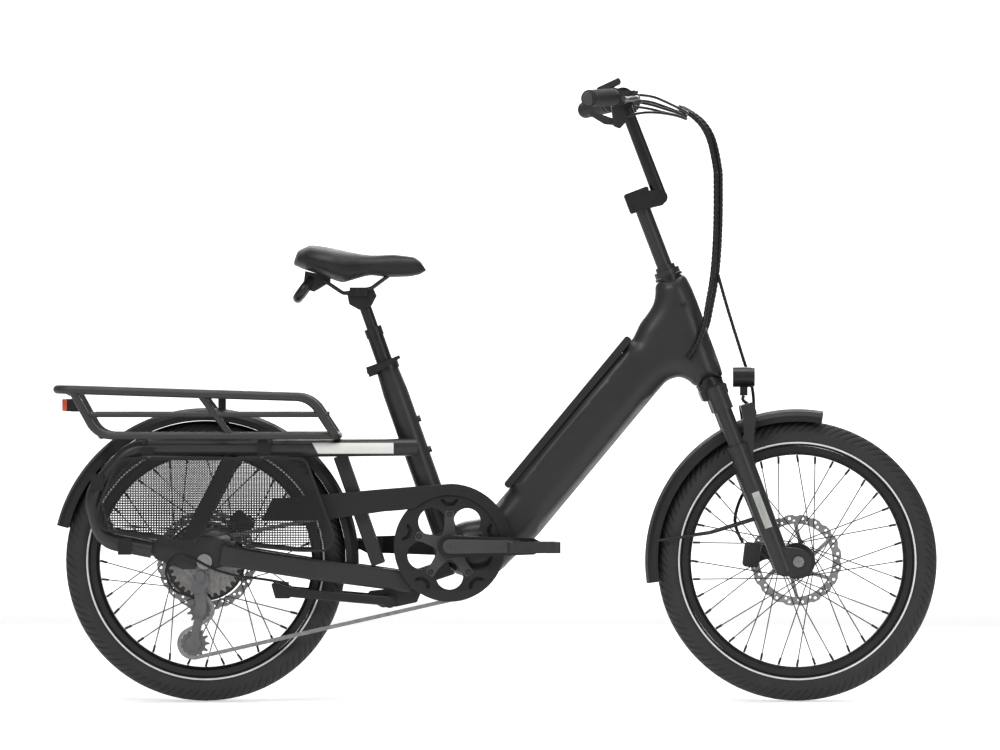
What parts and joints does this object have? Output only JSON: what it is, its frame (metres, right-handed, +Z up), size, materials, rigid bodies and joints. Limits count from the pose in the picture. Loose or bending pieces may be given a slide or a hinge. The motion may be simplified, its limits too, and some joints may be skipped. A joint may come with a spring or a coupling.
{
  "type": "cargo bicycle",
  "caption": "Compact step-through cargo bicycle with small wheels, long rear rack, wheel guards, front suspension fork, chain drive and a folding stem.",
  "frame": {"origin": "on the ground, midway between the rear end of the rack and the front of the front tyre, in the bicycle's middle plane", "axes": "+X forward, +Y to the rider's left, +Z up"},
  "size_m": [1.6254, 0.6586, 1.1472],
  "materials": {
    "frame_paint": "satin",
    "rack_paint": "satin",
    "fender_plastic": "matte",
    "guard_mesh": "matte",
    "strap_rubber": "matte",
    "battery_case": "satin",
    "tail_lamp": "gloss",
    "head_lamp": "gloss",
    "black_alloy": "satin",
    "bearing_steel": "satin",
    "spoke_steel": "satin",
    "rotor_steel": "brushed",
    "drive_steel": "satin",
    "ring_plastic": "satin",
    "derailleur_alloy": "satin",
    "caliper_black": "satin",
    "tyre_rubber": "matte",
    "grip_rubber": "matte",
    "hose": "satin",
    "saddle_vinyl": "matte",
    "pedal_alloy": "satin"
  },
  "bodies": {
    "frame": {"main_frame": "frame_paint", "seat_tube": "frame_paint", "rear_loops": "frame_paint", "chainstays": "frame_paint", "rack": "rack_paint", "wheel_guards": "guard_mesh", "guard_straps": "strap_rubber", "rear_fender": "fender_plastic", "tail_light": "tail_lamp", "chain_cover": "fender_plastic", "headset_cups": "black_alloy", "bottom_bracket": "bearing_steel", "rear_axle": "bearing_steel", "derailleur": "derailleur_alloy", "rear_caliper": "caliper_black", "kickstand_bracket": "frame_paint", "seat_clamp": "black_alloy", "gear_housing": "hose", "chain": "drive_steel"},
    "battery_pack": {"battery": "battery_case"},
    "steering": {"fork_crown": "frame_paint", "stem_box": "black_alloy", "control_cables": "hose"},
    "lowers": {"fork_lowers": "frame_paint", "front_axle": "bearing_steel", "front_fender": "fender_plastic", "headlight": "head_lamp", "front_caliper": "caliper_black"},
    "front_wheel": {"front_tyre": "tyre_rubber", "front_rim": "black_alloy", "front_spokes": "spoke_steel", "front_hub": "black_alloy", "front_rotor": "rotor_steel"},
    "rear_wheel": {"rear_tyre": "tyre_rubber", "rear_rim": "black_alloy", "rear_spokes": "spoke_steel", "rear_hub_motor": "black_alloy", "rear_rotor": "rotor_steel"},
    "cassette_body": {"cassette": "drive_steel"},
    "crank": {"crankset": "black_alloy", "chainring": "ring_plastic"},
    "pedal_core_right": {"pedal_core_right": "pedal_alloy"},
    "pedal_core_left": {"pedal_core_left": "pedal_alloy"},
    "pedal_right": {"pedal_right": "pedal_alloy"},
    "pedal_left": {"pedal_left": "pedal_alloy"},
    "guide_pulley": {"guide_pulley": "derailleur_alloy"},
    "tension_pulley": {"tension_pulley": "derailleur_alloy"},
    "bars": {"stem_arm": "black_alloy", "handlebar": "black_alloy", "grips": "grip_rubber", "bar_controls": "caliper_black"},
    "brake_lever_right": {"brake_lever_right": "caliper_black"},
    "brake_lever_left": {"brake_lever_left": "caliper_black"},
    "shift_paddle": {"shift_paddle": "caliper_black"},
    "lower_post": {"lower_seatpost": "black_alloy"},
    "upper_post": {"upper_seatpost": "black_alloy", "saddle": "saddle_vinyl", "saddle_frame": "black_alloy"},
    "seat_lever": {"seat_lever": "black_alloy"},
    "kickstand": {"kickstand": "black_alloy"}
  },
  "joints": [
    {"name": "steer", "type": "hinge", "parent": "frame", "child": "steering", "pos_m": [0.35551, 0, 0.68496], "axis": [-0.3584, 0, 0.9336], "range_deg": [-70, 70], "deforming": ["control_cables"]},
    {"name": "stem_fold", "type": "hinge", "parent": "steering", "child": "bars", "pos_m": [0.30311, 0, 0.92834], "axis": [0, 1, 0], "range_deg": [0, 60]},
    {"name": "fork_travel", "type": "slide", "parent": "steering", "child": "lowers", "axis": [-0.3584, 0, 0.9336], "range_m": [0, 0.05], "stiffness_N_per_m": 9000, "springref_m": -0.03},
    {"name": "front_wheel_spin", "type": "hinge", "parent": "lowers", "child": "front_wheel", "pos_m": [0.55475, 0, 0.258], "axis": [0, 1, 0], "continuous": true},
    {"name": "rear_wheel_spin", "type": "hinge", "parent": "frame", "child": "rear_wheel", "pos_m": [-0.53525, 0, 0.258], "axis": [0, 1, 0], "continuous": true},
    {"name": "crank_spin", "type": "hinge", "parent": "frame", "child": "crank", "pos_m": [-0.08565, 0, 0.2862], "axis": [0, 1, 0], "continuous": true, "deforming": ["chain"]},
    {"name": "cassette_spin", "type": "hinge", "parent": "frame", "child": "cassette_body", "pos_m": [-0.53525, 0, 0.258], "axis": [0, 1, 0], "continuous": true},
    {"name": "guide_pulley_spin", "type": "hinge", "parent": "frame", "child": "guide_pulley", "pos_m": [-0.54325, 0, 0.169], "axis": [0, 1, 0], "continuous": true},
    {"name": "tension_pulley_spin", "type": "hinge", "parent": "frame", "child": "tension_pulley", "pos_m": [-0.55615, 0, 0.1073], "axis": [0, 1, 0], "continuous": true},
    {"name": "pedal_spin_right", "type": "hinge", "parent": "crank", "child": "pedal_core_right", "pos_m": [0.06935, -0.1, 0.2862], "axis": [0, 1, 0], "continuous": true},
    {"name": "pedal_spin_left", "type": "hinge", "parent": "crank", "child": "pedal_core_left", "pos_m": [-0.24065, 0.1, 0.2862], "axis": [0, 1, 0], "continuous": true},
    {"name": "pedal_fold_right", "type": "hinge", "parent": "pedal_core_right", "child": "pedal_right", "pos_m": [0.06935, -0.116, 0.2862], "axis": [-1, 0, 0], "range_deg": [0, 90]},
    {"name": "pedal_fold_left", "type": "hinge", "parent": "pedal_core_left", "child": "pedal_left", "pos_m": [-0.24065, 0.116, 0.2862], "axis": [1, 0, 0], "range_deg": [0, 90]},
    {"name": "brake_right", "type": "hinge", "parent": "bars", "child": "brake_lever_right", "pos_m": [0.25449, -0.186, 1.10593], "axis": [0.3584, 0, -0.9336], "range_deg": [0, 15], "stiffness_Nm_per_rad": 1.2, "springref_deg": -8.59},
    {"name": "brake_left", "type": "hinge", "parent": "bars", "child": "brake_lever_left", "pos_m": [0.25449, 0.186, 1.10593], "axis": [-0.3584, 0, 0.9336], "range_deg": [0, 15], "stiffness_Nm_per_rad": 1.2, "springref_deg": -8.59},
    {"name": "shift", "type": "hinge", "parent": "bars", "child": "shift_paddle", "pos_m": [0.22018, -0.138, 1.06177], "axis": [0, -1, 0], "range_deg": [0, 20], "stiffness_Nm_per_rad": 0.3, "springref_deg": -11.46},
    {"name": "lower_post_slide", "type": "slide", "parent": "frame", "child": "lower_post", "axis": [-0.3338, 0, 0.9426], "range_m": [-0.045, 0.06]},
    {"name": "upper_post_slide", "type": "slide", "parent": "lower_post", "child": "upper_post", "axis": [-0.3338, 0, 0.9426], "range_m": [-0.035, 0.05]},
    {"name": "seat_lever", "type": "hinge", "parent": "frame", "child": "seat_lever", "pos_m": [-0.23032, 0, 0.60786], "axis": [0, -1, 0], "range_deg": [0, 170]},
    {"name": "kickstand", "type": "hinge", "parent": "frame", "child": "kickstand", "pos_m": [-0.19565, 0, 0.1839], "axis": [0, -1, 0], "range_deg": [0, 105]},
    {"name": "battery_slide", "type": "slide", "parent": "frame", "child": "battery_pack", "axis": [-0.7705, 0, 0.6374], "range_m": [0, 0.09]}
  ],
  "couplings": [
    {"joint": "cassette_spin", "follows": "crank_spin", "ratio": 2.6667},
    {"joint": "guide_pulley_spin", "follows": "crank_spin", "ratio": -4.3636},
    {"joint": "tension_pulley_spin", "follows": "crank_spin", "ratio": 3.6923}
  ]
}
